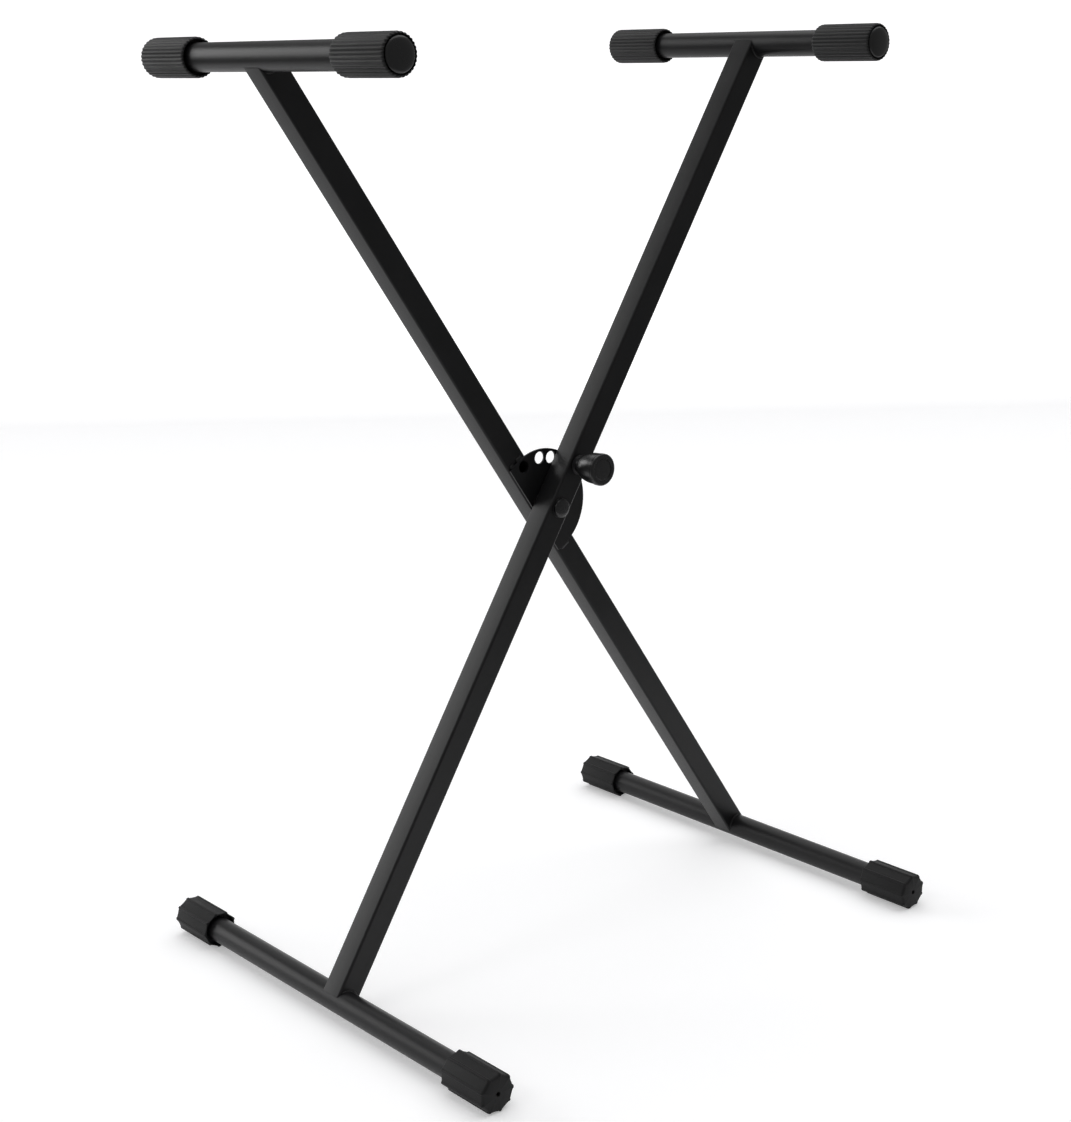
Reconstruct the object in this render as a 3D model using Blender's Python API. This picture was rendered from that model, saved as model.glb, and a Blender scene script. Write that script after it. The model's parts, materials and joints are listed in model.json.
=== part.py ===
"""X-style keyboard stand: two crossed frames of square tube that turn on one bolt.

Metres, +Z up, floor at z = 0, origin on the floor under the pivot. The front frame (lower left to
upper right) lies on the -Y side and carries the pull pin. The rear frame carries the index disc.
"""
import math

import bmesh
import bpy
from mathutils import Matrix

# Clearances
SEAT_GAP = 0.0003
SLIDE_GAP = 0.0005

# Layout of the cross
PIVOT_TO_BAR = 0.5164
LEAN = math.radians(33.52)
LEG_SPACING = 0.004
FOLDED_ANGLE = math.radians(4.54)

# Square legs
LEG_WIDTH = 0.025
LEG_WALL = 0.0015
LEG_CORNER = 0.0022

# Round cross bars
BAR_RADIUS = 0.0125
BAR_WALL = 0.0015
UPPER_BAR_HALF = 0.1760
LOWER_BAR_HALF = 0.2460
BAR_SIDES = 24

# Ribbed grips and their domed end plugs
GRIP_RADIUS = 0.0175
GRIP_RIBS = 30
BORE_SIDES = 18
GRIP_RIB_DEPTH = 0.0007
GRIP_CREST_HALF = math.radians(2.2)
GRIP_LENGTH = 0.070
GRIP_OVERHANG = 0.003
GRIP_CHAMFER = 0.0022
GRIP_MOUTH_WALL = 0.0023
GRIP_MOUTH_DEPTH = 0.008
PLUG_HEAD_RADIUS = 0.0143
PLUG_HEAD_RIM = 0.0029
PLUG_DOME = 0.0033
PLUG_STEM = 0.0145

# Fluted feet
FOOT_RADIUS = 0.019
FOOT_RIDGES = 9
FOOT_FLUTE_DEPTH = 0.0018
FOOT_RIDGE_DEPTH = 0.0011
FOOT_CREST_HALF = math.radians(2.5)
FOOT_RIDGE_HALF = math.radians(6.0)
FOOT_TURNS = {
    "lower_left_front_foot": math.radians(11.0),
    "lower_left_rear_foot": math.radians(28.0),
    "lower_right_front_foot": math.radians(-6.0),
    "lower_right_rear_foot": math.radians(-6.0),
}
FOOT_STAND = 0.0182
FOOT_LENGTH = 0.0575
FOOT_END_WALL = 0.0042
FOOT_CHAMFER = 0.0014
FOOT_NOSE = 0.003
FOOT_MOUTH_WALL = 0.0029
FOOT_MOUTH_DEPTH = 0.006
FOOT_VENT_RADIUS = 0.002

# Index disc of the rear frame
DISC_RADIUS = 0.055
DISC_THICKNESS = 0.0020
DISC_SIDE_INSET = 0.001
DISC_HOLE_MARGIN = 0.0085
DISC_HOLE_CIRCLE = DISC_RADIUS - DISC_HOLE_MARGIN
DISC_HOLE_RADIUS = 0.0061
DISC_HOLE_PITCH = math.radians(18.0)
DISC_STEPS_EACH_WAY = 2
DISC_SIDES = 48

# Pivot bolt and what is on it
BOLT_RADIUS = 0.005
BOLT_HEAD_RADIUS = 0.0065
BOLT_HEAD_HEIGHT = 0.0018
CAP_RADIUS = 0.0092
CAP_WALL = 0.0012
CAP_EDGE = 0.0015
WASHER_RADIUS = 0.0100
WASHER_THICKNESS = 0.0008
NUT_RADIUS = 0.0087
NUT_HEIGHT = 0.0065
BOLT_END_THREAD = 0.0015
BUSH_RADIUS = 0.008
THRUST_RADIUS = 0.012
THRUST_THICKNESS = 0.0006

# Pull pin, its barrel, spring and knob; the pin is drawn back at rest
PIN_RADIUS = 0.0056
PIN_CHAMFER = 0.0006
PIN_TRAVEL = 0.0045
PIN_TIP_INSET = 0.0002
PIN_HEAD_LENGTH = 0.0108
PIN_COLLAR_LENGTH = 0.0025
SHANK_RADIUS = 0.0035
BARREL_RADIUS = 0.008
BARREL_WALL = 0.001
BARREL_REACH = 0.010
BARREL_FLANGE = 0.0015
BARREL_FLANGE_HEIGHT = 0.0010
SPRING_WIRE = 0.00055
SPRING_TURNS = 5
SPRING_SIDES = 4
SPRING_STEPS = 10
KNOB_RADIUS = 0.0158
KNOB_BACK_RADIUS = 0.0102
KNOB_OUT = 0.035
KNOB_LENGTH = 0.0284
KNOB_RIM = 0.0055
KNOB_EDGE = 0.0018
KNOB_GROOVE = 0.0006
KNOB_SOCKET_DEPTH = 0.0095
KNOB_THREAD_DEPTH = 0.011
KNOB_CAP_RADIUS = 0.0105
KNOB_CAP_RECESS = 0.0012
KNOB_CAP_THICKNESS = 0.0008

# Weld beads
WELD_LEG = 0.0015
WELD_HALF_ARC = math.radians(50.0)
DISC_BEAD_WIDTH = 0.0030
DISC_BEADS = ((-9.0, -4.0), (0.0, 8.0), (176.0, 188.0))

LEG_NEAR = LEG_SPACING / 2
LEG_FAR = LEG_NEAR + LEG_WIDTH
LEG_MIDDLE = LEG_NEAR + LEG_WIDTH / 2
PIVOT_HEIGHT = FOOT_STAND + PIVOT_TO_BAR * math.cos(LEAN)
DISC_BACK = LEG_NEAR - SEAT_GAP
DISC_FRONT = DISC_BACK - DISC_THICKNESS
BAR_BORE = BAR_RADIUS - BAR_WALL
REST_OPENING = 2 * LEAN
FRAMES = {"front": (-1, LEAN), "rear": (1, -LEAN)}
COLOURS = {
    "frame_steel": ((0.028, 0.028, 0.030), 0.42, 0.0),
    "grip_rubber": ((0.022, 0.022, 0.023), 0.70, 0.0),
    "foot_rubber": ((0.020, 0.020, 0.021), 0.75, 0.0),
    "black_plastic": ((0.018, 0.018, 0.019), 0.45, 0.0),
    "black_steel": ((0.016, 0.016, 0.017), 0.38, 0.6),
    "zinc_steel": ((0.60, 0.60, 0.58), 0.35, 1.0),
    "black_nylon": ((0.020, 0.020, 0.021), 0.50, 0.0),
}


def clear_scene():
    for old in list(bpy.data.objects):
        bpy.data.objects.remove(old)


def material(name):
    found = bpy.data.materials.get(name)
    if found:
        return found
    colour, roughness, metallic = COLOURS[name]
    made = bpy.data.materials.new(name)
    made.use_nodes = True
    shader = made.node_tree.nodes["Principled BSDF"]
    shader.inputs["Base Color"].default_value = (*colour, 1.0)
    shader.inputs["Roughness"].default_value = roughness
    shader.inputs["Metallic"].default_value = metallic
    made.diffuse_color = (*colour, 1.0)
    return made


def empty(name, location, turn=0.0):
    made = bpy.data.objects.new(name, None)
    made.location = location
    made.rotation_euler = (0.0, turn, 0.0)
    bpy.context.collection.objects.link(made)
    return made


def place(name, bm, slot, parent, location=(0.0, 0.0, 0.0), turn=0.0, smooth=True):
    """Turns a bmesh into a named object under its parent, with its faces pointing out."""
    bmesh.ops.recalc_face_normals(bm, faces=bm.faces)
    mesh = bpy.data.meshes.new(name)
    bm.to_mesh(mesh)
    bm.free()
    mesh.materials.append(material(slot))
    if smooth:
        mesh.shade_smooth()
        mesh.set_sharp_from_angle(angle=math.radians(30))
    made = bpy.data.objects.new(name, mesh)
    made.parent = parent
    made.location = location
    made.rotation_euler = (0.0, turn, 0.0)
    bpy.context.collection.objects.link(made)
    return made


def circle(radius, y, count):
    """A loop about the Y axis, starting at the top; a zero radius gives the one point on the axis."""
    if radius == 0.0:
        return [(0.0, y, 0.0)]
    angles = [2 * math.pi * k / count for k in range(count)]
    return [(radius * math.sin(a), y, radius * math.cos(a)) for a in angles]


def stitch(bm, first, second):
    """Joins two loops whose points run the same way round, with equal or unequal counts."""
    n, m = len(first), len(second)
    if n == m:
        for k in range(n):
            bm.faces.new((first[k], first[(k + 1) % n], second[(k + 1) % n], second[k]))
        return
    i = n if n == 1 else 0
    j = m if m == 1 else 0
    while i < n or j < m:
        if i < n and (j >= m or (i + 1) / n <= (j + 1) / m):
            bm.faces.new((first[i], first[(i + 1) % n], second[j % m]))
            i += 1
        else:
            bm.faces.new((first[i % n], second[(j + 1) % m], second[j]))
            j += 1


def skin(bm, loops, wrap=False):
    """Covers a row of loops; wrap joins the last to the first, otherwise the ends are closed."""
    rings = [[bm.verts.new(point) for point in loop] for loop in loops]
    for first, second in zip(rings, rings[1:]):
        stitch(bm, first, second)
    if wrap:
        stitch(bm, rings[-1], rings[0])
    else:
        for ring in (rings[0], rings[-1]):
            if len(ring) > 2:
                bm.faces.new(ring)


def turned(profile, sides):
    """A body turned about Y from (radius, y) points; a profile off the axis all round is a ring."""
    bm = bmesh.new()
    ring = all(radius > 0.0 for radius, _ in profile)
    skin(bm, [circle(radius, y, sides) for radius, y in profile], wrap=ring)
    return bm


def cutter(name, bm, target, parent, location=(0.0, 0.0, 0.0)):
    """Takes a closed shape out of the target; the shape stays in the file as a hidden guide."""
    shape = place(name, bm, "frame_steel", parent, location)
    shape.hide_render = True
    shape.display_type = "WIRE"
    cut = target.modifiers.new(name, "BOOLEAN")
    cut.operation = "DIFFERENCE"
    cut.object = shape


def rod(radius, low, high, sides=20):
    return turned([(0.0, low), (radius, low), (radius, high), (0.0, high)], sides)


def rounded_square(width, corner, z, steps=3):
    half = width / 2 - corner
    points = []
    for quarter in range(4):
        middle = math.pi / 2 * quarter + math.pi / 4
        cx = half * math.copysign(1, math.cos(middle))
        cy = half * math.copysign(1, math.sin(middle))
        for k in range(steps + 1):
            a = math.pi / 2 * (quarter + k / steps)
            points.append((cx + corner * math.cos(a), cy + corner * math.sin(a), z))
    return points


def leg(frame, parent):
    """The square tube, notched at both ends to sit on its two bars, and drilled for bolt and pin."""
    side, _ = FRAMES[frame]
    inner_corner = max(LEG_CORNER - LEG_WALL, LEG_WALL / 4)
    bm = bmesh.new()
    ends = (-PIVOT_TO_BAR, PIVOT_TO_BAR)
    outer = [rounded_square(LEG_WIDTH, LEG_CORNER, z) for z in ends]
    bore = [rounded_square(LEG_WIDTH - 2 * LEG_WALL, inner_corner, z) for z in reversed(ends)]
    skin(bm, outer + bore, wrap=True)
    made = place(f"{frame}_leg", bm, "frame_steel", parent, (0.0, side * LEG_MIDDLE, 0.0))
    reach = LEG_WIDTH
    for word, z in (("lower", -PIVOT_TO_BAR), ("upper", PIVOT_TO_BAR)):
        saddle = rod(BAR_RADIUS + SEAT_GAP, -reach, reach, BAR_SIDES)
        cutter(f"{frame}_{word}_saddle", saddle, made, parent, (0.0, side * LEG_MIDDLE, z))
    bolt_hole = rod(BOLT_RADIUS + SEAT_GAP, -reach, reach)
    cutter(f"{frame}_bolt_hole", bolt_hole, made, parent, (0.0, side * LEG_MIDDLE, 0.0))
    return made


def bar(name, half_length, parent, z):
    profile = [
        (BAR_RADIUS, -half_length),
        (BAR_RADIUS, half_length),
        (BAR_BORE, half_length),
        (BAR_BORE, -half_length),
    ]
    place(name, turned(profile, BAR_SIDES), "frame_steel", parent, (0.0, 0.0, z))


def fillet(radius, face, away):
    """Section of a weld bead in the corner of a round surface and a flat face."""
    return [
        (radius, face),
        (radius + WELD_LEG, face),
        (radius + 0.72 * WELD_LEG, face + away * 0.72 * WELD_LEG),
        (radius, face + away * WELD_LEG),
    ]


def swept(section, start, end, centre_z=0.0, steps=8):
    """A section of (radius, y) points carried round the Y axis from one angle to another."""
    bm = bmesh.new()
    loops = []
    for k in range(steps + 1):
        a = start + (end - start) * k / steps
        loops.append([(r * math.sin(a), y, centre_z + r * math.cos(a)) for r, y in section])
    skin(bm, loops)
    return bm


def leg_welds(frame, parent):
    """Each joint of leg and bar has one bead on the outer and one on the inner face."""
    side, _ = FRAMES[frame]
    radius = BAR_RADIUS + SEAT_GAP
    for word, z, middle in (("upper", PIVOT_TO_BAR, math.pi), ("lower", -PIVOT_TO_BAR, 0.0)):
        for place_word, face, away in (("outer", LEG_FAR + SEAT_GAP, 1), ("inner", LEG_NEAR - SEAT_GAP, -1)):
            section = fillet(radius, side * face, side * away)
            bm = swept(section, middle - WELD_HALF_ARC, middle + WELD_HALF_ARC, z)
            place(f"{frame}_{word}_{place_word}_weld", bm, "frame_steel", parent)


def grip_loop(inset, y):
    """Ribbed outline with a flat crest at the very top; inset draws it in for the chamfers."""
    pitch = 2 * math.pi / GRIP_RIBS
    crest = GRIP_RADIUS - inset
    root = crest - GRIP_RIB_DEPTH
    points = []
    for k in range(GRIP_RIBS):
        a = k * pitch
        for turn, radius in ((-GRIP_CREST_HALF, crest), (GRIP_CREST_HALF, crest), (pitch / 2, root)):
            points.append((radius * math.sin(a + turn), y, radius * math.cos(a + turn)))
    return points


def grip(name, side, parent, turn):
    """Rubber sleeve at one end of an upper bar, open round the bar at its inner mouth."""
    outer_end = UPPER_BAR_HALF + GRIP_OVERHANG
    inner_end = outer_end - GRIP_LENGTH
    bore = BAR_RADIUS + SEAT_GAP
    mouth = GRIP_RADIUS - GRIP_MOUTH_WALL
    recess = PLUG_HEAD_RADIUS + 2 * SEAT_GAP
    loops = [
        grip_loop(GRIP_CHAMFER / 2, side * inner_end),
        grip_loop(0.0, side * (inner_end + GRIP_CHAMFER)),
        grip_loop(0.0, side * (outer_end - GRIP_CHAMFER)),
        grip_loop(GRIP_CHAMFER / 2, side * outer_end),
        circle(recess, side * outer_end, BORE_SIDES),
        circle(recess, side * UPPER_BAR_HALF, BORE_SIDES),
        circle(bore, side * UPPER_BAR_HALF, BORE_SIDES),
        circle(bore, side * (inner_end + GRIP_MOUTH_DEPTH), BORE_SIDES),
        circle(mouth, side * (inner_end + GRIP_MOUTH_DEPTH), BORE_SIDES),
        circle(mouth, side * inner_end, BORE_SIDES),
    ]
    bm = bmesh.new()
    skin(bm, loops, wrap=True)
    place(name, bm, "grip_rubber", parent, (0.0, 0.0, PIVOT_TO_BAR), turn)


def plug(name, side, parent):
    """Domed plug: its stem is in the bar, its head fills the recess of the grip."""
    seat = UPPER_BAR_HALF + SEAT_GAP
    rim = seat + PLUG_HEAD_RIM
    stem = BAR_BORE - SEAT_GAP
    profile = [(0.0, seat - PLUG_STEM), (stem, seat - PLUG_STEM), (stem, seat), (PLUG_HEAD_RADIUS, seat)]
    for degrees in (0, 25, 55):
        a = math.radians(degrees)
        profile.append((PLUG_HEAD_RADIUS * math.cos(a), rim + PLUG_DOME * math.sin(a)))
    profile.append((0.0, rim + PLUG_DOME))
    shape = turned([(radius, side * y) for radius, y in profile], BORE_SIDES)
    place(name, shape, "black_plastic", parent, (0.0, 0.0, PIVOT_TO_BAR))


def foot_loop(inset, y, first):
    """Nine sharp ridges with shallow flutes between them, pressed flat where they meet the floor."""
    pitch = 2 * math.pi / FOOT_RIDGES
    crest = FOOT_RADIUS - inset
    shape = (
        (-FOOT_RIDGE_HALF, crest - FOOT_RIDGE_DEPTH),
        (-FOOT_CREST_HALF, crest),
        (FOOT_CREST_HALF, crest),
        (FOOT_RIDGE_HALF, crest - FOOT_RIDGE_DEPTH),
        (pitch / 2, crest - FOOT_FLUTE_DEPTH),
    )
    points = []
    for k in range(FOOT_RIDGES):
        for turn, radius in shape:
            a = first + k * pitch + turn
            points.append((radius * math.sin(a), y, max(radius * math.cos(a), -FOOT_STAND)))
    return points


def foot(name, side, parent, turn):
    """Rubber shoe over one end of a lower bar, with a vent hole in its end face."""
    bar_end = LOWER_BAR_HALF + SEAT_GAP
    outer_end = bar_end + FOOT_END_WALL
    inner_end = outer_end - FOOT_LENGTH
    bore = BAR_RADIUS + SEAT_GAP
    mouth = FOOT_RADIUS - FOOT_MOUTH_WALL
    first = FOOT_TURNS[name]
    loops = [
        foot_loop(FOOT_CHAMFER / 2, side * inner_end, first),
        foot_loop(0.0, side * (inner_end + FOOT_CHAMFER), first),
        foot_loop(0.0, side * (outer_end - FOOT_NOSE), first),
        foot_loop(0.8 * FOOT_NOSE, side * outer_end, first),
        circle(FOOT_VENT_RADIUS, side * outer_end, BORE_SIDES // 2),
        circle(FOOT_VENT_RADIUS, side * bar_end, BORE_SIDES // 2),
        circle(bore, side * bar_end, BORE_SIDES),
        circle(bore, side * (inner_end + FOOT_MOUTH_DEPTH), BORE_SIDES),
        circle(mouth, side * (inner_end + FOOT_MOUTH_DEPTH), BORE_SIDES),
        circle(mouth, side * inner_end, BORE_SIDES),
    ]
    bm = bmesh.new()
    skin(bm, loops, wrap=True)
    place(name, bm, "foot_rubber", parent, (0.0, 0.0, -PIVOT_TO_BAR), turn)


def frame(word, upper, lower):
    """One half of the cross: leg, two bars, their beads, grips, plugs and feet."""
    _, lean = FRAMES[word]
    parent = empty(f"{word}_frame_axis", (0.0, 0.0, PIVOT_HEIGHT), lean)
    made = leg(word, parent)
    bar(f"upper_{upper}_bar", UPPER_BAR_HALF, parent, PIVOT_TO_BAR)
    bar(f"lower_{lower}_bar", LOWER_BAR_HALF, parent, -PIVOT_TO_BAR)
    leg_welds(word, parent)
    for end, side in (("front", -1), ("rear", 1)):
        grip(f"upper_{upper}_{end}_grip", side, parent, -lean)
        plug(f"upper_{upper}_{end}_plug", side, parent)
        foot(f"lower_{lower}_{end}_foot", side, parent, -lean)
    return parent, made


def hole_angles():
    """Angles of the index holes from the rear leg's upper half: five heights and the folded one."""
    steps = range(-DISC_STEPS_EACH_WAY, DISC_STEPS_EACH_WAY + 1)
    return [REST_OPENING + k * DISC_HOLE_PITCH for k in steps] + [FOLDED_ANGLE]


def on_hole_circle(angle):
    return (DISC_HOLE_CIRCLE * math.sin(angle), 0.0, DISC_HOLE_CIRCLE * math.cos(angle))


def index_disc(parent, rear_leg):
    """Round plate with one straight side along the rear leg's edge; the pin drops through one of
    its holes and the folded one goes on through the leg's wall."""
    reach = 2 * DISC_THICKNESS
    profile = [
        (DISC_RADIUS, DISC_FRONT),
        (DISC_RADIUS, DISC_BACK),
        (BOLT_RADIUS + SEAT_GAP, DISC_BACK),
        (BOLT_RADIUS + SEAT_GAP, DISC_FRONT),
    ]
    disc = place("index_disc", turned(profile, DISC_SIDES), "frame_steel", parent)
    straight = DISC_SIDE_INSET - LEG_WIDTH / 2
    far = 2 * DISC_RADIUS
    corners = ((-far, -far), (straight, -far), (straight, far), (-far, far))
    trim = bmesh.new()
    skin(trim, [[(x, y, z) for x, z in corners] for y in (-reach, reach)])
    cutter("disc_trim", trim, disc, parent)
    for k, angle in enumerate(hole_angles()):
        cutter(f"index_hole_{k}", rod(DISC_HOLE_RADIUS, -reach, reach), disc, parent, on_hole_circle(angle))
    store = rod(DISC_HOLE_RADIUS, -reach, LEG_NEAR + PIN_TRAVEL)
    cutter("folded_hole", store, rear_leg, parent, on_hole_circle(FOLDED_ANGLE))
    radius = DISC_RADIUS + SEAT_GAP
    section = [
        (radius, DISC_BACK),
        (radius + DISC_BEAD_WIDTH, DISC_BACK),
        (radius + 0.7 * DISC_BEAD_WIDTH, DISC_BACK - 0.6 * DISC_THICKNESS),
        (radius, DISC_FRONT),
    ]
    for k, (start, end) in enumerate(DISC_BEADS):
        bm = swept(section, math.radians(start), math.radians(end), steps=5)
        place(f"disc_weld_{k + 1}", bm, "frame_steel", parent)


def washer(name, radius, low, high, slot, parent):
    bore = BOLT_RADIUS + SEAT_GAP
    profile = [(radius, low), (radius, high), (bore, high), (bore, low)]
    place(name, turned(profile, 24), slot, parent)


def pivot(front_axis, rear_axis):
    """Bolt, washers, nut and cap stay with the rear frame; the front frame turns on the bolt."""
    head_seat = -(LEG_FAR + 2 * SEAT_GAP + WASHER_THICKNESS)
    head_top = head_seat - BOLT_HEAD_HEIGHT
    nut_seat = -head_seat
    nut_top = nut_seat + NUT_HEIGHT
    bolt_end = nut_top + BOLT_END_THREAD
    bolt = [
        (0.0, head_top),
        (0.8 * BOLT_HEAD_RADIUS, head_top),
        (BOLT_HEAD_RADIUS, head_top + BOLT_HEAD_HEIGHT / 4),
        (BOLT_HEAD_RADIUS, head_seat),
        (BOLT_RADIUS, head_seat),
        (BOLT_RADIUS, bolt_end),
        (0.0, bolt_end),
    ]
    place("pivot_bolt", turned(bolt, 24), "zinc_steel", rear_axis)
    hollow = BOLT_HEAD_RADIUS + SEAT_GAP
    floor = head_top - SEAT_GAP
    cap = [(0.0, floor), (hollow, floor), (hollow, head_seat), (CAP_RADIUS, head_seat)]
    rise = BOLT_HEAD_HEIGHT + SEAT_GAP + CAP_WALL - CAP_EDGE
    for degrees in (0, 25, 50, 72):
        a = math.radians(degrees)
        cap.append((CAP_RADIUS * math.cos(a), head_seat - CAP_EDGE - rise * math.sin(a)))
    cap.append((0.0, floor - CAP_WALL))
    place("pivot_cap", turned(cap, 24), "black_plastic", rear_axis)
    low = -(LEG_FAR + SEAT_GAP + WASHER_THICKNESS)
    high = -(LEG_FAR + SEAT_GAP)
    washer("pivot_front_washer", WASHER_RADIUS, low, high, "black_steel", rear_axis)
    washer("pivot_rear_washer", WASHER_RADIUS, -high, -low, "black_steel", rear_axis)
    nut_bore = BOLT_RADIUS + SEAT_GAP
    nut = bmesh.new()
    loops = [circle(NUT_RADIUS, nut_seat, 6), circle(NUT_RADIUS, nut_top, 6)]
    loops += [circle(nut_bore, nut_top, 24), circle(nut_bore, nut_seat, 24)]
    skin(nut, loops, wrap=True)
    place("pivot_nut", nut, "zinc_steel", rear_axis)
    inner_low = LEG_NEAR + LEG_WALL + SEAT_GAP
    inner_high = LEG_FAR - LEG_WALL - SEAT_GAP
    washer("front_pivot_bush", BUSH_RADIUS, -inner_high, -inner_low, "zinc_steel", front_axis)
    washer("rear_pivot_bush", BUSH_RADIUS, inner_low, inner_high, "zinc_steel", rear_axis)
    thrust_high = DISC_FRONT - SEAT_GAP
    thrust_low = thrust_high - THRUST_THICKNESS
    washer("pivot_thrust_washer", THRUST_RADIUS, thrust_low, thrust_high, "black_nylon", front_axis)


def out(distance):
    """The y of a place in front of the front leg's face."""
    return -(LEG_FAR + distance)


def place_turned(name, profile, slot, parent, at, sides=20):
    place(name, turned([(r, out(d)) for r, d in profile], sides), slot, parent, at)


def lock(front_axis, front_leg):
    """The pull pin: barrel in the leg, spring round the shank, knob on the shank's thread."""
    at = (0.0, 0.0, DISC_HOLE_CIRCLE)
    inside = -(LEG_WIDTH - LEG_WALL - SEAT_GAP)
    bore = BARREL_RADIUS - BARREL_WALL
    neck = SHANK_RADIUS + SEAT_GAP
    flange = BARREL_RADIUS + BARREL_FLANGE
    flange_top = SEAT_GAP + BARREL_FLANGE_HEIGHT
    front_wall = BARREL_REACH - 1.6 * BARREL_WALL
    barrel = [
        (flange, SEAT_GAP),
        (flange, flange_top),
        (BARREL_RADIUS, flange_top + BARREL_WALL / 2),
        (BARREL_RADIUS, BARREL_REACH),
        (neck, BARREL_REACH),
        (neck, front_wall),
        (bore, front_wall),
        (bore, inside),
        (BARREL_RADIUS, inside),
        (BARREL_RADIUS, SEAT_GAP),
    ]
    place_turned("lock_barrel", barrel, "black_steel", front_axis, at)
    narrow = rod(PIN_RADIUS + SEAT_GAP, -LEG_MIDDLE, 0.0)
    cutter("pin_hole", narrow, front_leg, front_axis, at)
    wide = rod(BARREL_RADIUS + SEAT_GAP, out(LEG_WIDTH / 4), -LEG_MIDDLE - LEG_WALL, 28)
    cutter("barrel_hole", wide, front_leg, front_axis, at)

    tip = -LEG_WIDTH + PIN_TIP_INSET
    collar = tip + PIN_HEAD_LENGTH
    collar_top = collar + PIN_COLLAR_LENGTH
    thread_end = KNOB_OUT - KNOB_LENGTH + KNOB_SOCKET_DEPTH + KNOB_THREAD_DEPTH
    pin = [
        (0.0, tip),
        (PIN_RADIUS - PIN_CHAMFER, tip),
        (PIN_RADIUS, tip + PIN_CHAMFER),
        (PIN_RADIUS, collar),
        (bore - SLIDE_GAP, collar),
        (bore - SLIDE_GAP, collar_top),
        (SHANK_RADIUS, collar_top),
        (SHANK_RADIUS, thread_end - SEAT_GAP),
        (0.0, thread_end - SEAT_GAP),
    ]
    place_turned("lock_pin", pin, "zinc_steel", front_axis, at)
    spring(collar_top, front_wall, bore, front_axis, at)
    knob(thread_end, front_axis, at)


def spring(low, high, bore, parent, at):
    """Compression spring between the pin's collar and the barrel's front wall."""
    coil = (bore - SLIDE_GAP + SHANK_RADIUS + SLIDE_GAP) / 2
    start = low + SEAT_GAP + SPRING_WIRE
    length = high - SEAT_GAP - SPRING_WIRE - start
    total = SPRING_TURNS * SPRING_STEPS
    loops = []
    for k in range(total + 1):
        a = 2 * math.pi * k / SPRING_STEPS
        y = out(start + length * k / total)
        loop = []
        for s in range(SPRING_SIDES):
            b = 2 * math.pi * s / SPRING_SIDES
            r = coil + SPRING_WIRE * math.cos(b)
            loop.append((r * math.sin(a), y + SPRING_WIRE * math.sin(b), r * math.cos(a)))
        loops.append(loop)
    bm = bmesh.new()
    skin(bm, loops)
    place("lock_spring", bm, "zinc_steel", parent, at)


def knob(thread_end, parent, at):
    """Round pull knob: thick rim with one groove, tapered body, socket that runs over the barrel."""
    back = KNOB_OUT - KNOB_LENGTH
    socket = BARREL_RADIUS + SLIDE_GAP
    rim_back = KNOB_OUT - KNOB_RIM
    groove = KNOB_OUT - KNOB_RIM / 2
    recess = KNOB_CAP_RADIUS + SEAT_GAP
    taper = KNOB_RADIUS - KNOB_BACK_RADIUS
    profile = [
        (0.0, KNOB_OUT - KNOB_CAP_RECESS),
        (recess, KNOB_OUT - KNOB_CAP_RECESS),
        (recess, KNOB_OUT),
        (KNOB_RADIUS - KNOB_EDGE, KNOB_OUT),
        (KNOB_RADIUS - KNOB_EDGE * 0.3, KNOB_OUT - KNOB_EDGE * 0.3),
        (KNOB_RADIUS, KNOB_OUT - KNOB_EDGE),
        (KNOB_RADIUS, groove + KNOB_GROOVE / 2),
        (KNOB_RADIUS - KNOB_GROOVE, groove),
        (KNOB_RADIUS, groove - KNOB_GROOVE / 2),
        (KNOB_RADIUS, rim_back),
        (KNOB_RADIUS - KNOB_GROOVE, rim_back - KNOB_GROOVE),
        (KNOB_RADIUS - taper * 0.14, back + (rim_back - back) * 0.58),
        (KNOB_RADIUS - taper * 0.44, back + (rim_back - back) * 0.25),
        (KNOB_BACK_RADIUS, back + KNOB_EDGE / 2),
        (KNOB_BACK_RADIUS - KNOB_EDGE / 2, back),
        (socket, back),
        (socket, back + KNOB_SOCKET_DEPTH),
        (SHANK_RADIUS + SEAT_GAP, back + KNOB_SOCKET_DEPTH),
        (SHANK_RADIUS + SEAT_GAP, thread_end),
        (0.0, thread_end),
    ]
    place_turned("lock_knob", profile, "black_plastic", parent, at)
    low = KNOB_OUT - KNOB_CAP_RECESS + SEAT_GAP
    disc = [
        (0.0, low),
        (KNOB_CAP_RADIUS, low),
        (KNOB_CAP_RADIUS, low + KNOB_CAP_THICKNESS / 2),
        (KNOB_CAP_RADIUS - KNOB_CAP_THICKNESS, low + KNOB_CAP_THICKNESS),
        (0.0, low + KNOB_CAP_THICKNESS),
    ]
    place_turned("lock_knob_cap", disc, "black_plastic", parent, at)


clear_scene()
front_axis, front_leg = frame("front", "right", "left")
rear_axis, rear_leg = frame("rear", "left", "right")
index_disc(rear_axis, rear_leg)
pivot(front_axis, rear_axis)
lock(front_axis, front_leg)
bpy.context.view_layer.update()
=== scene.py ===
"""X-style keyboard stand: finish, fine shapes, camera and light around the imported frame."""
import json
import math

import bmesh
import bpy
from mathutils import Matrix, Vector

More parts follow.
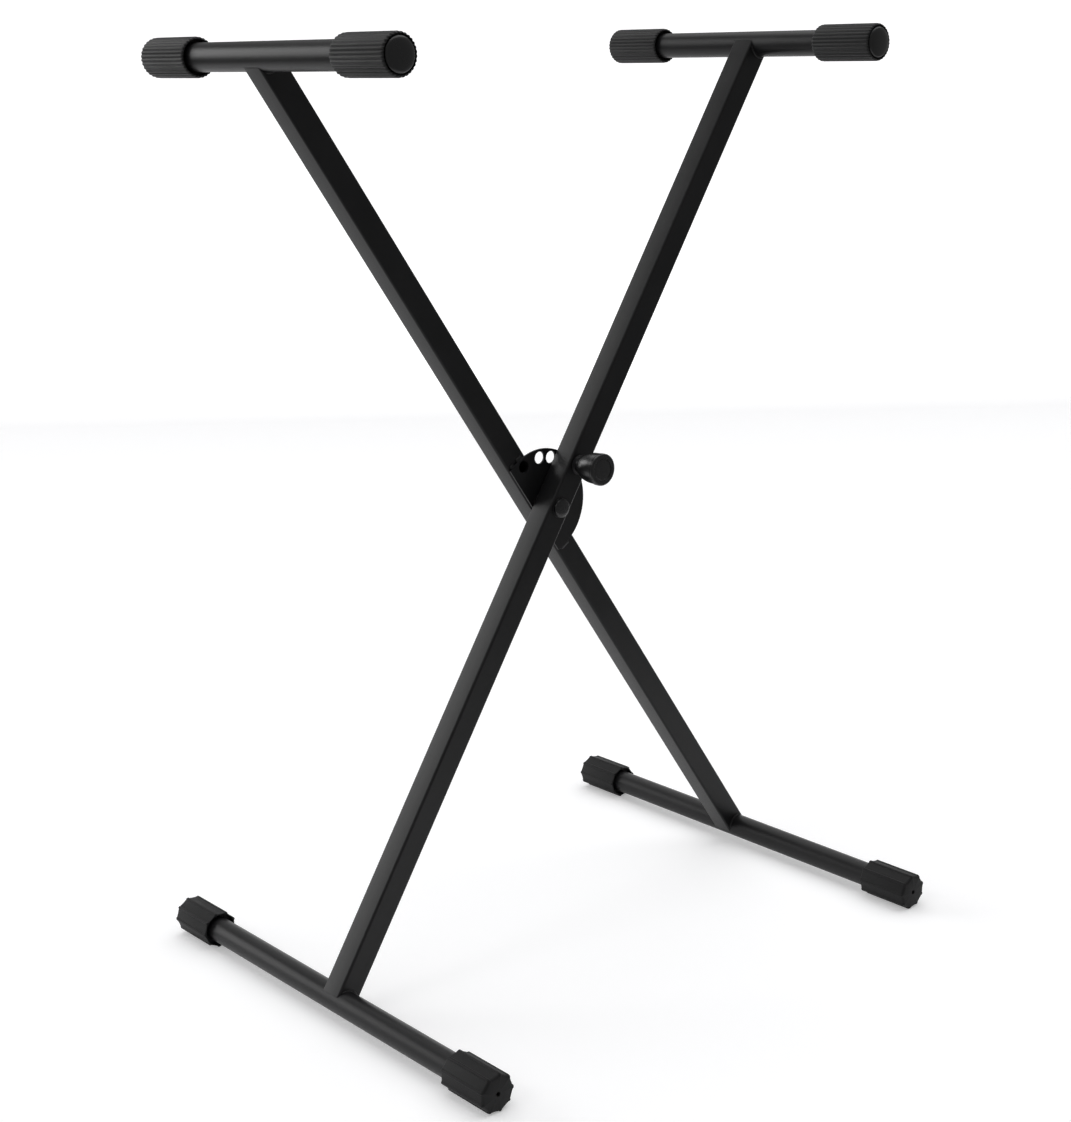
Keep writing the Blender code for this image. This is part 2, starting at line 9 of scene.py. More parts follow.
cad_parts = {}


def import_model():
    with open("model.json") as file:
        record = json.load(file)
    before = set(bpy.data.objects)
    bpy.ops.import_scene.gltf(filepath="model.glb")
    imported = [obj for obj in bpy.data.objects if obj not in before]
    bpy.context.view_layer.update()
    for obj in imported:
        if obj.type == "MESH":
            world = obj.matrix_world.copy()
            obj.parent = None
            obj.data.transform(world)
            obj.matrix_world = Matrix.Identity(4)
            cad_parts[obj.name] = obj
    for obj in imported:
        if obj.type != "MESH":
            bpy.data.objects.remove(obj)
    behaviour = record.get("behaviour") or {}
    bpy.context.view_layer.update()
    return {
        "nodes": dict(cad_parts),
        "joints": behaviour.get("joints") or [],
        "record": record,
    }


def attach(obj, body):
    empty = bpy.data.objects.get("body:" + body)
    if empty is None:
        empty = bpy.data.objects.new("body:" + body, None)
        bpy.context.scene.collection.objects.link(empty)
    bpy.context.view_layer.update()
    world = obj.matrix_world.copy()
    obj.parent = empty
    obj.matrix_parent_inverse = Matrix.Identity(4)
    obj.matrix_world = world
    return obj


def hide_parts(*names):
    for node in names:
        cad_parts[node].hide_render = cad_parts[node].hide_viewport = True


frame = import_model()

# Camera, from a fit to the photograph's edges (pixels of the 1071 x 1122 picture)
PICTURE = (1071, 1122)
CAMERA_PLACE = (-1.1943, -1.3790, 0.8865)
CAMERA_YAW = math.radians(-42.1077)
CAMERA_PITCH = math.radians(-16.3092)
CAMERA_ROLL = math.radians(-1.2335)
FOCAL_PIXELS = 1897.78
CENTRE_PIXEL = (583.27, 595.82)
SENSOR = 36.0

# Light of the world, and what the sweep shows of itself to the camera at floor and backdrop
WORLD_LIGHT = 0.25
FLOOR_LIFT = 0.32
BACKDROP_LIFT = 0.8
LIFT_HEIGHT = 0.05

# Sweep, in metres ahead of the camera
SWEEP_NEAR = 1.15
SWEEP_FLAT_TO = 4.58
SWEEP_BEND_AT = 4.6
SWEEP_BEND_RADIUS = 0.6
SWEEP_TOP = 1.45

# Surface detail shared by all finishes
CLOUD_SCALE = 22.0
GRAIN_HEIGHT = 0.0004

# Sizes of the real pieces, as in the frame
LEAN = math.radians(33.52)
LEG_WIDTH = 0.025
LEG_WALL = 0.0015
LEG_CORNER = 0.0022
LEG_INNER_CORNER = 0.0008
LEG_NEAR = 0.002
LEG_FAR = LEG_NEAR + LEG_WIDTH
LEG_MIDDLE = LEG_NEAR + LEG_WIDTH / 2
BAR_RADIUS = 0.0125
BAR_BORE = 0.011
BAR_LIP = 0.0004
WELD_LEG = 0.0015
WELD_HALF_ARC = math.radians(50)
UPPER_BAR_HALF = 0.1760
LOWER_BAR_HALF = 0.2460
SEAT_GAP = 0.0003
GRIP_RADIUS = 0.0175
GRIP_RIBS = 30
GRIP_RIB_DEPTH = 0.0009
GRIP_LENGTH = 0.070
GRIP_OVERHANG = 0.003
GRIP_CHAMFER = 0.0024
GRIP_MOUTH_RADIUS = 0.0152
GRIP_MOUTH_DEPTH = 0.008
PLUG_RADIUS = 0.0143
PLUG_RIM = 0.0029
PLUG_DOME = 0.0033
PLUG_EDGE = 0.0006
PLUG_NECK = 0.0145
FOOT_RADIUS = 0.019
FOOT_RIDGES = 9
FOOT_TURNS = {
    "lower_left_front_foot": math.radians(11.0),
    "lower_left_rear_foot": math.radians(28.0),
    "lower_right_front_foot": math.radians(-6.0),
    "lower_right_rear_foot": math.radians(-6.0),
}
FOOT_STAND = 0.0182
FOOT_LENGTH = 0.0575
FOOT_NOSE = 0.003
FOOT_CHAMFER = 0.0012
FOOT_RIDGE_DEPTH = 0.0011
FOOT_FLUTE_DEPTH = 0.0007
FOOT_VENT_RADIUS = 0.002
FOOT_END_WALL = 0.0042
FOOT_MOUTH_RADIUS = 0.0161
FOOT_MOUTH_DEPTH = 0.006
DISC_RADIUS = 0.055
DISC_BACK = 0.0017
DISC_FRONT = -0.0003
DISC_EDGE = 0.0003
DISC_SIDE_INSET = 0.001
DISC_BEADS = ((-9, -4), (0, 8), (176, 188))
BEAD_OUT = 0.0030
BEAD_UP = 0.0018
BOLT_HOLE_RADIUS = 0.0053
HOLE_CIRCLE = 0.0465
HOLE_RADIUS = 0.0061
HOLE_PITCH = math.radians(18.0)
FOLDED_ANGLE = math.radians(4.54)
WASHER_RADIUS = 0.0100
WASHER_THICKNESS = 0.0008
CAP_RADIUS = 0.0092
CAP_HOLLOW_RADIUS = 0.0068
CAP_HOLLOW_DEPTH = 0.0021
CAP_EDGE = 0.0015
CAP_HEIGHT = 0.0033
BARREL_HOLE_RADIUS = 0.0083
BARREL_HOLE_DEPTH = 0.0015
PIN_HOLE_RADIUS = 0.0059

FOLD = next(j for j in frame["joints"] if j["name"] == "fold")
PIVOT = Vector(FOLD["pos_m"])
PIVOT_TO_BAR = (PIVOT.z - FOOT_STAND) / math.cos(LEAN)
AXES = {
    "front_frame": Matrix.Translation(PIVOT) @ Matrix.Rotation(LEAN, 4, "Y"),
    "rear_frame": Matrix.Translation(PIVOT) @ Matrix.Rotation(-LEAN, 4, "Y"),
}
AXES["pull_pin"] = AXES["front_frame"]
LEANS = {"front_frame": LEAN, "rear_frame": -LEAN}


# Materials

def new_material(name):
    made = bpy.data.materials.new(name)
    made.use_nodes = True
    return made, made.node_tree.nodes, made.node_tree.links


def surface(name, dark, light, roughness, spread, grain, grain_depth, metallic=0.0, specular=0.5):
    """A coated or moulded surface: two close tones mixed by soft noise, uneven gloss, fine grain."""
    made, nodes, links = new_material(name)
    shader = nodes["Principled BSDF"]
    shader.inputs["Metallic"].default_value = metallic
    shader.inputs["Specular IOR Level"].default_value = specular
    place = nodes.new("ShaderNodeTexCoord")
    clouds = nodes.new("ShaderNodeTexNoise")
    clouds.inputs["Scale"].default_value = CLOUD_SCALE
    clouds.inputs["Detail"].default_value = 6.0
    links.new(place.outputs["Object"], clouds.inputs["Vector"])
    tones = nodes.new("ShaderNodeValToRGB")
    tones.color_ramp.elements[0].position = 0.32
    tones.color_ramp.elements[1].position = 0.70
    tones.color_ramp.elements[0].color = (*dark, 1.0)
    tones.color_ramp.elements[1].color = (*light, 1.0)
    links.new(clouds.outputs["Fac"], tones.inputs["Fac"])
    links.new(tones.outputs["Color"], shader.inputs["Base Color"])
    gloss = nodes.new("ShaderNodeMapRange")
    gloss.inputs["To Min"].default_value = roughness - spread
    gloss.inputs["To Max"].default_value = roughness + spread
    links.new(clouds.outputs["Fac"], gloss.inputs["Value"])
    links.new(gloss.outputs["Result"], shader.inputs["Roughness"])
    fine = nodes.new("ShaderNodeTexNoise")
    fine.inputs["Scale"].default_value = grain
    fine.inputs["Detail"].default_value = 3.0
    links.new(place.outputs["Object"], fine.inputs["Vector"])
    bump = nodes.new("ShaderNodeBump")
    bump.inputs["Strength"].default_value = grain_depth
    bump.inputs["Distance"].default_value = GRAIN_HEIGHT
    links.new(fine.outputs["Fac"], bump.inputs["Height"])
    links.new(bump.outputs["Normal"], shader.inputs["Normal"])
    return made


COAT = surface("powder_coat", (0.0085, 0.0085, 0.0090), (0.0125, 0.0123, 0.0130), 0.38, 0.04, 1500.0, 0.20,
               specular=0.22)
GRIP = surface("grip_rubber", (0.0080, 0.0080, 0.0085), (0.0150, 0.0150, 0.0155), 0.55, 0.08, 2600.0, 0.35,
               specular=0.34)
SHOE = surface("foot_rubber", (0.0035, 0.0035, 0.0038), (0.0070, 0.0070, 0.0074), 0.60, 0.08, 2200.0, 0.40,
               specular=0.25)
PLASTIC = surface("moulded_plastic", (0.0060, 0.0060, 0.0064), (0.0100, 0.0100, 0.0105), 0.28, 0.05, 3000.0,
                  0.10)
OXIDE = surface("black_oxide", (0.015, 0.015, 0.016), (0.030, 0.030, 0.032), 0.34, 0.08, 2600.0, 0.15,
                metallic=0.5)
ZINC = surface("zinc", (0.46, 0.46, 0.45), (0.62, 0.62, 0.60), 0.30, 0.10, 1800.0, 0.20, metallic=1.0)
NYLON = surface("nylon", (0.012, 0.012, 0.012), (0.020, 0.020, 0.020), 0.48, 0.06, 2000.0, 0.15)
BY_SLOT = {
    "frame_steel": COAT,
    "grip_rubber": GRIP,
    "foot_rubber": SHOE,
    "black_plastic": PLASTIC,
    "black_steel": OXIDE,
    "zinc_steel": ZINC,
    "black_nylon": NYLON,
}
for part in frame["record"]["subparts"]:
    shown = frame["nodes"][part["node"]]
    shown.data.materials.clear()
    shown.data.materials.append(BY_SLOT[part["material_slot"]])


# Mesh helpers

def circle(radius, y, count):
    """Points of a ring about the Y axis, or the one point on the axis."""
    if radius == 0.0:
        return [(0.0, y, 0.0)]
    angles = [2 * math.pi * k / count for k in range(count)]
    return [(radius * math.sin(a), y, radius * math.cos(a)) for a in angles]


def stitch(bm, first, second):
    """Faces between two rings, with the same or another count of points."""
    n, m = len(first), len(second)
    if n == m:
        for k in range(n):
            bm.faces.new((first[k], first[(k + 1) % n], second[(k + 1) % n], second[k]))
        return
    i = n if n == 1 else 0
    j = m if m == 1 else 0
    while i < n or j < m:
        if i < n and (j >= m or (i + 1) / n <= (j + 1) / m):
            bm.faces.new((first[i], first[(i + 1) % n], second[j % m]))
            i += 1
        else:
            bm.faces.new((first[i % n], second[(j + 1) % m], second[j]))
            j += 1


def skin(loops, wrap=False):
    """Closed mesh over a row of loops; wrap joins the last loop to the first."""
    bm = bmesh.new()
    rings = [[bm.verts.new(point) for point in loop] for loop in loops]
    for first, second in zip(rings, rings[1:]):
        stitch(bm, first, second)
    if wrap:
        stitch(bm, rings[-1], rings[0])
    else:
        for ring in (rings[0], rings[-1]):
            if len(ring) > 2:
                bm.faces.new(ring)
    bmesh.ops.recalc_face_normals(bm, faces=bm.faces)
    return bm


def turned(profile, sides):
    """Mesh turned about the Y axis from (radius, y) points."""
    ring = all(radius > 0.0 for radius, _ in profile)
    return skin([circle(radius, y, sides) for radius, y in profile], wrap=ring)


def piece(name, bm, body, slot, replaced, offset=(0.0, 0.0, 0.0), upright=False, angle=32):
    """Names a mesh, puts it on its body and lets it stand for its CAD node."""
    mesh = bpy.data.meshes.new(name)
    bm.to_mesh(mesh)
    bm.free()
    mesh.materials.append(BY_SLOT[slot])
    mesh.shade_smooth()
    mesh.set_sharp_from_angle(angle=math.radians(angle))
    made = bpy.data.objects.new(name, mesh)
    bpy.context.scene.collection.objects.link(made)
    place = AXES[body] @ Matrix.Translation(offset)
    if upright:
        place = place @ Matrix.Rotation(-LEANS[body], 4, "Y")
    made.data.transform(place)
    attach(made, body)
    if replaced:
        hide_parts(*replaced)
    return made


def bend(corner, radius, start, end, steps):
    """Points of an arc in a (radius, y) profile, about a centre, from one angle to another."""
    cr, cy = corner
    points = []
    for k in range(steps + 1):
        a = math.radians(start + (end - start) * k / steps)
        points.append((cr + radius * math.cos(a), cy + radius * math.sin(a)))
    return points


def subtract(bm, cutters):
    """Takes closed shapes out of a mesh and returns the result as a new bmesh."""
    mesh = bpy.data.meshes.new("work")
    bm.to_mesh(mesh)
    bm.free()
    work = bpy.data.objects.new("work", mesh)
    bpy.context.scene.collection.objects.link(work)
    shapes = []
    for cut_bm in cutters:
        cut_mesh = bpy.data.meshes.new("cut")
        cut_bm.to_mesh(cut_mesh)
        cut_bm.free()
        shape = bpy.data.objects.new("cut", cut_mesh)
        bpy.context.scene.collection.objects.link(shape)
        modifier = work.modifiers.new("cut", "BOOLEAN")
        modifier.operation = "DIFFERENCE"
        modifier.object = shape
        shapes.append(shape)
    bpy.context.view_layer.update()
    evaluated = work.evaluated_get(bpy.context.evaluated_depsgraph_get())
    result = bmesh.new()
    result.from_mesh(evaluated.to_mesh())
    for shape in shapes + [work]:
        bpy.data.objects.remove(shape)
    return result


def cylinder(radius, low, high, sides, x=0.0, z=0.0):
    """Solid cylinder along Y between two heights."""
    bm = turned([(0.0, low), (radius, low), (radius, high), (0.0, high)], sides)
    bmesh.ops.translate(bm, verts=bm.verts, vec=(x, 0.0, z))
    return bm


# Frames

def rounded_square(width, corner, z, steps):
    """Outline of a square tube at one height."""
    half = width / 2 - corner
    points = []
    for quarter in range(4):
        middle = math.pi / 2 * quarter + math.pi / 4
        cx = half * math.copysign(1, math.cos(middle))
        cy = half * math.copysign(1, math.sin(middle))
        for k in range(steps + 1):
            a = math.pi / 2 * (quarter + k / steps)
            points.append((cx + corner * math.cos(a), cy + corner * math.sin(a), z))
    return points


def leg(body, side):
    """Square tube with hollows for the bars and holes for the bolt and the pin."""
    word = body.split("_")[0]
    ends = (-PIVOT_TO_BAR, PIVOT_TO_BAR)
    outer = [rounded_square(LEG_WIDTH, LEG_CORNER, z, 7) for z in ends]
    bore = [rounded_square(LEG_WIDTH - 2 * LEG_WALL, LEG_INNER_CORNER, z, 7) for z in reversed(ends)]
    bm = skin(outer + bore, wrap=True)
    bmesh.ops.translate(bm, verts=bm.verts, vec=(0.0, side * LEG_MIDDLE, 0.0))
    far = 2 * LEG_FAR
    cuts = [cylinder(BAR_RADIUS + SEAT_GAP, -far, far, 96, z=z) for z in ends]
    cuts.append(cylinder(BOLT_HOLE_RADIUS, -far, far, 32))
    if side < 0:
        seat = -LEG_MIDDLE - BARREL_HOLE_DEPTH
        cuts.append(cylinder(BARREL_HOLE_RADIUS, -far, seat, 40, z=HOLE_CIRCLE))
        cuts.append(cylinder(PIN_HOLE_RADIUS, -LEG_MIDDLE, 0.0, 36, z=HOLE_CIRCLE))
    else:
        x = HOLE_CIRCLE * math.sin(FOLDED_ANGLE)
        z = HOLE_CIRCLE * math.cos(FOLDED_ANGLE)
        cuts.append(cylinder(HOLE_RADIUS, 0.0, LEG_MIDDLE, 36, x, z))
    piece(f"{word}_leg_tube", subtract(bm, cuts), body, "frame_steel", [f"{word}_leg"])


def bar(name, node, half, body, z):
    """Round tube with its end edges broken."""
    profile = [
        (BAR_RADIUS - BAR_LIP, -half),
        (BAR_RADIUS, -half + BAR_LIP),
        (BAR_RADIUS, half - BAR_LIP),
        (BAR_RADIUS - BAR_LIP, half),
        (BAR_BORE, half),
        (BAR_BORE, -half),
    ]
    piece(name, turned(profile, 96), body, "frame_steel", [node], (0.0, 0.0, z))


def weld(name, body, middle, z, face, away):
    """A bead in the corner of bar and leg, with the small ripples of its run."""
    radius = BAR_RADIUS + 0.5 * SEAT_GAP
    start, end = middle - WELD_HALF_ARC, middle + WELD_HALF_ARC
    steps = 44
    loops = []
    for k in range(steps + 1):
        a = start + (end - start) * k / steps
        edge = min(k, steps - k) / 3.0
        size = WELD_LEG * min(1.0, 0.45 + 0.55 * edge) * (1.0 + 0.06 * math.sin(k * 1.9))
        ring = [(radius, face)]
        ring += [
            (radius + size * math.cos(b), face + away * size * math.sin(b))
            for b in (math.radians(d) for d in (0, 22, 45, 68, 90))
        ]
        loops.append([(r * math.sin(a), y, z + r * math.cos(a)) for r, y in ring])
    piece(name, skin(loops), body, "frame_steel", [name.replace("_bead", "_weld")], angle=60)


# Grips, plugs and feet

def grip_loop(inset, y, fade=1.0):
    """Ribbed outline with rounded ribs; fade lowers the ribs towards the ends."""
    steps = 10
    points = []
    for k in range(GRIP_RIBS * steps):
        a = 2 * math.pi * k / (GRIP_RIBS * steps)
        wave = 0.5 + 0.5 * math.cos(GRIP_RIBS * a)
        rise = wave ** 0.55
        radius = GRIP_RADIUS - inset - GRIP_RIB_DEPTH * fade * (1.0 - rise)
        points.append((radius * math.sin(a), y, radius * math.cos(a)))
    return points


def grip(name, side, body):
    """Ribbed sleeve with a recess round the plug and a wider mouth at its inner end."""
    outer = UPPER_BAR_HALF + GRIP_OVERHANG
    inner = outer - GRIP_LENGTH
    recess = PLUG_RADIUS + 0.0013
    bore = BAR_RADIUS + SEAT_GAP
    loops = []
    for degrees in (90, 68, 45, 22, 0):
        a = math.radians(degrees)
        drop = GRIP_CHAMFER * (1 - math.cos(a))
        loops.append(grip_loop(drop * 0.5, inner + GRIP_CHAMFER * (1 - math.sin(a))))
    for degrees in (0, 22, 45, 68, 90):
        a = math.radians(degrees)
        drop = GRIP_CHAMFER * (1 - math.cos(a))
        loops.append(grip_loop(drop * 0.6, outer - GRIP_CHAMFER * (1 - math.sin(a))))
    inside = [
        (recess + 0.0003, outer),
        (recess, outer - 0.0003),
        (recess, UPPER_BAR_HALF),
        (bore, UPPER_BAR_HALF),
        (bore, inner + GRIP_MOUTH_DEPTH),
        (GRIP_MOUTH_RADIUS, inner + GRIP_MOUTH_DEPTH),
        (GRIP_MOUTH_RADIUS, inner + 0.0004),
        (GRIP_MOUTH_RADIUS + 0.0004, inner),
    ]
    loops += [circle(radius, y, 100) for radius, y in inside]
    loops = [[(x, side * y, z) for x, y, z in loop] for loop in loops]
    piece(f"{name}_sleeve", skin(loops, wrap=True), body, "grip_rubber", [name],
          (0.0, 0.0, PIVOT_TO_BAR), upright=True, angle=40)


def plug(name, side, body):
    """Domed end plug with a neck inside the bar."""
    seat = UPPER_BAR_HALF + SEAT_GAP
    rim = seat + PLUG_RIM
    neck = BAR_BORE - SEAT_GAP
    profile = [(0.0, seat - PLUG_NECK), (neck, seat - PLUG_NECK), (neck, seat)]
    profile += [(PLUG_RADIUS, seat), (PLUG_RADIUS, rim - PLUG_EDGE)]
    for k in range(1, 15):
        a = math.pi / 2 * k / 15
        rise = (PLUG_DOME + PLUG_EDGE) * math.sin(a)
        profile.append((PLUG_RADIUS * math.cos(a) ** 0.92, rim - PLUG_EDGE + rise))
    profile.append((0.0, rim + PLUG_DOME))
    shape = turned([(radius, side * y) for radius, y in profile], 72)
    piece(f"{name}_dome", shape, body, "black_plastic", [name], (0.0, 0.0, PIVOT_TO_BAR), angle=50)


def foot_loop(inset, y, first):
    """Nine ridges with hollow flutes; the lowest ridge is flat where it stands."""
    steps = 24
    points = []
    for k in range(FOOT_RIDGES * steps):
        turn = (k % steps) / steps
        off = abs(turn - round(turn)) * 2
        if off < 0.13:
            drop = 0.0
        elif off < 0.26:
            drop = FOOT_RIDGE_DEPTH * (1 - math.cos((off - 0.13) / 0.13 * math.pi)) / 2
        else:
            drop = FOOT_RIDGE_DEPTH + FOOT_FLUTE_DEPTH * math.sin((off - 0.26) / 0.74 * math.pi / 2)
        radius = FOOT_RADIUS - inset - drop
        a = first + 2 * math.pi * k / (FOOT_RIDGES * steps)
        points.append((radius * math.sin(a), y, max(radius * math.cos(a), -FOOT_STAND)))
    return points


def foot(name, side, body):
    """Ridged rubber shoe with a vent hole in its end face."""
    bar_end = LOWER_BAR_HALF + SEAT_GAP
    outer = bar_end + FOOT_END_WALL
    inner = outer - FOOT_LENGTH
    bore = BAR_RADIUS + SEAT_GAP
    first = FOOT_TURNS[name]
    loops = []
    for degrees in (90, 60, 30, 0):
        a = math.radians(degrees)
        drop = FOOT_CHAMFER * (1 - math.cos(a))
        loops.append(foot_loop(drop * 0.6, inner + FOOT_CHAMFER * (1 - math.sin(a)), first))
    for degrees in (0, 20, 40, 60, 80):
        a = math.radians(degrees)
        drop = FOOT_NOSE * (1 - math.cos(a))
        loops.append(foot_loop(drop, outer - FOOT_NOSE * (1 - math.sin(a)), first))
    inside = [
        (FOOT_VENT_RADIUS + 0.0004, outer),
        (FOOT_VENT_RADIUS, outer - 0.0004),
        (FOOT_VENT_RADIUS, bar_end),
        (bore, bar_end),
        (bore, inner + FOOT_MOUTH_DEPTH),
        (FOOT_MOUTH_RADIUS, inner + FOOT_MOUTH_DEPTH),
        (FOOT_MOUTH_RADIUS, inner + 0.0003),
        (FOOT_MOUTH_RADIUS + 0.0003, inner),
    ]
    loops += [circle(radius, y, 72) for radius, y in inside]
    loops = [[(x, side * y, z) for x, y, z in loop] for loop in loops]
    piece(f"{name}_shoe", skin(loops, wrap=True), body, "foot_rubber", [name],
          (0.0, 0.0, -PIVOT_TO_BAR), upright=True, angle=40)


def half_cross(body, side, upper, lower):
    """One frame: leg, two bars, their beads, grips, plugs and feet."""
    word = body.split("_")[0]
    leg(body, side)
    bar(f"upper_{upper}_tube", f"upper_{upper}_bar", UPPER_BAR_HALF, body, PIVOT_TO_BAR)
    bar(f"lower_{lower}_tube", f"lower_{lower}_bar", LOWER_BAR_HALF, body, -PIVOT_TO_BAR)
    for level, z, middle in (("upper", PIVOT_TO_BAR, math.pi), ("lower", -PIVOT_TO_BAR, 0.0)):
        weld(f"{word}_{level}_outer_bead", body, middle, z, side * (LEG_FAR + 0.0002), side)
        weld(f"{word}_{level}_inner_bead", body, middle, z, side * (LEG_NEAR - 0.0002), -side)
    for end, way in (("front", -1), ("rear", 1)):
        grip(f"upper_{upper}_{end}_grip", way, body)
        plug(f"upper_{upper}_{end}_plug", way, body)
        foot(f"lower_{lower}_{end}_foot", way, body)


# The hub: disc, pivot and lock

def disc():
    """Round plate with its holes and one straight side along the rear leg."""
    profile = [
        (DISC_RADIUS - DISC_EDGE, DISC_FRONT),
        (DISC_RADIUS, DISC_FRONT + DISC_EDGE),
        (DISC_RADIUS, DISC_BACK - DISC_EDGE),
        (DISC_RADIUS - DISC_EDGE, DISC_BACK),
        (BOLT_HOLE_RADIUS, DISC_BACK),
        (BOLT_HOLE_RADIUS, DISC_FRONT),
    ]
    angles = [2 * LEAN + k * HOLE_PITCH for k in range(-2, 3)] + [FOLDED_ANGLE]
    cuts = []
    for a in angles:
        x = HOLE_CIRCLE * math.sin(a)
        z = HOLE_CIRCLE * math.cos(a)
        cuts.append(cylinder(HOLE_RADIUS, -0.01, 0.01, 48, x, z))
    straight = DISC_SIDE_INSET - LEG_WIDTH / 2
    corners = ((-0.2, -0.2), (straight, -0.2), (straight, 0.2), (-0.2, 0.2))
    cuts.append(skin([[(x, y, z) for x, z in corners] for y in (-0.01, 0.01)]))
    piece("index_plate", subtract(turned(profile, 160), cuts), "rear_frame", "frame_steel", ["index_disc"])


def disc_bead(number, start, end):
    """Bead at the disc's edge, where it lies on the rear leg."""
    radius = DISC_RADIUS + SEAT_GAP
    steps = 24
    loops = []
    for k in range(steps + 1):
        a = math.radians(start + (end - start) * k / steps)
        size = min(1.0, 0.4 + 0.3 * min(k, steps - k)) * (1.0 + 0.05 * math.sin(2.2 * k))
        ring = [(radius, DISC_BACK)]
        for degrees in (0, 30, 60, 90):
            b = math.radians(degrees)
            rise = BEAD_UP * size * math.sin(b)
            ring.append((radius + BEAD_OUT * size * math.cos(b), DISC_BACK - rise))
        loops.append([(r * math.sin(a), y, r * math.cos(a)) for r, y in ring])
    piece(f"disc_bead_{number}", skin(loops), "rear_frame", "frame_steel", [f"disc_weld_{number}"], angle=60)


def hub_piece(name, profile, body, slot, node, offset=(0.0, 0.0, 0.0), sides=72, angle=32):
    """A turned piece; its profile counts y outwards from the front leg's face."""
    shape = turned([(radius, -(LEG_FAR + out)) for radius, out in profile], sides)
    piece(name, shape, body, slot, [node], offset, angle=angle)


def pivot_cap():
    """Domed cap over the bolt's head, and the washer under it."""
    top = SEAT_GAP + WASHER_THICKNESS
    seat = top + SEAT_GAP
    floor_at = seat + CAP_HOLLOW_DEPTH
    edge = 0.0003
    profile = [
        (0.0, floor_at),
        (CAP_HOLLOW_RADIUS, floor_at),
        (CAP_HOLLOW_RADIUS, seat),
        (CAP_RADIUS - edge, seat),
        (CAP_RADIUS, seat + edge),
    ]
    for k in range(13):
        a = math.pi / 2 * k / 13
        rise = (CAP_HEIGHT - CAP_EDGE) * math.sin(a)
        profile.append((CAP_RADIUS * math.cos(a), seat + CAP_EDGE + rise))
    profile.append((0.0, seat + CAP_HEIGHT))
    hub_piece("pivot_dome", profile, "rear_frame", "black_plastic", "pivot_cap", angle=50)
    edge = 0.0002
    ring = [
        (BOLT_HOLE_RADIUS, SEAT_GAP),
        (WASHER_RADIUS - edge, SEAT_GAP),
        (WASHER_RADIUS, SEAT_GAP + edge),
        (WASHER_RADIUS, top - edge),
        (WASHER_RADIUS - edge, top),
        (BOLT_HOLE_RADIUS, top),
    ]
    hub_piece("pivot_front_ring", ring, "rear_frame", "black_steel", "pivot_front_washer")


def lock():
    """Barrel in the front leg, and the knob with its inset front cap, as (radius, out) profiles."""
    at = (0.0, 0.0, HOLE_CIRCLE)
    barrel = [
        (0.0092, 0.0003),
        (0.0095, 0.0006),
        (0.0095, 0.0010),
        (0.0092, 0.0013),
        (0.0084, 0.0014),
        (0.0080, 0.0018),
        (0.0080, 0.0097),
        (0.0077, 0.0100),
        (0.0038, 0.0100),
        (0.0038, 0.0084),
        (0.0070, 0.0084),
        (0.0070, -0.0232),
        (0.0080, -0.0232),
        (0.0080, 0.0003),
    ]
    hub_piece("lock_sleeve", barrel, "front_frame", "black_steel", "lock_barrel", at)
    knob = [
        (0.0, 0.0338),
        (0.0108, 0.0338),
        (0.0108, 0.0346),
        (0.0111, 0.0350),
        (0.0136, 0.0350),
    ]
    knob += [(r, -y) for r, y in bend((0.0141, -0.0333), 0.0017, -90, 0, 7)]
    knob += [
        (0.0158, 0.0326),
        (0.0154, 0.0323),
        (0.0154, 0.0321),
        (0.0158, 0.0318),
        (0.0158, 0.0298),
        (0.0155, 0.0295),
        (0.0152, 0.0294),
        (0.0153, 0.0270),
        (0.0152, 0.0240),
        (0.0149, 0.0205),
        (0.0143, 0.0170),
        (0.0134, 0.0135),
        (0.0122, 0.0105),
        (0.0110, 0.0084),
        (0.0102, 0.0075),
        (0.0096, 0.0067),
        (0.0085, 0.0066),
        (0.0085, 0.0161),
        (0.0038, 0.0161),
        (0.0038, 0.0271),
        (0.0, 0.0271),
    ]
    hub_piece("lock_knob_body", knob, "pull_pin", "black_plastic", "lock_knob", at, sides=96, angle=40)
    front = [(0.0, 0.0341), (0.0105, 0.0341), (0.0105, 0.0344)]
    for k in range(1, 8):
        a = math.pi / 2 * k / 8
        front.append((0.0105 * math.cos(a), 0.0344 + 0.0005 * math.sin(a)))
    front.append((0.0, 0.0349))
    hub_piece("lock_knob_front", front, "pull_pin", "black_plastic", "lock_knob_cap", at, angle=60)


half_cross("front_frame", -1, "right", "left")
half_cross("rear_frame", 1, "left", "right")
disc()
for number, (start, end) in enumerate(DISC_BEADS, 1):
    disc_bead(number, start, end)
pivot_cap()
lock()


# Floor, light and camera

def seen_by_eye(nodes, links, strength):
    """One strength for camera, glossy and transmission rays, and none for the rest."""
    path = nodes.new("ShaderNodeLightPath")
    rays = [path.outputs[name] for name in ("Is Camera Ray", "Is Glossy Ray", "Is Transmission Ray")]
    total = rays[0]
    for ray in rays[1:]:
        added = nodes.new("ShaderNodeMath")
        added.operation = "MAXIMUM"
        links.new(total, added.inputs[0])
        links.new(ray, added.inputs[1])
        total = added.outputs[0]
    scaled = nodes.new("ShaderNodeMath")
    scaled.operation = "MULTIPLY"
    links.new(total, scaled.inputs[0])
    links.new(strength, scaled.inputs[1])
    return scaled.outputs[0]


def over_floor(ahead, aside, height=0.0):
    """A point given by its way ahead of the camera and to the right of it."""
    way = Vector((-math.sin(CAMERA_YAW), math.cos(CAMERA_YAW), 0.0))
    across = Vector((math.cos(CAMERA_YAW), math.sin(CAMERA_YAW), 0.0))
    return Vector((CAMERA_PLACE[0], CAMERA_PLACE[1], height)) + way * ahead + across * aside


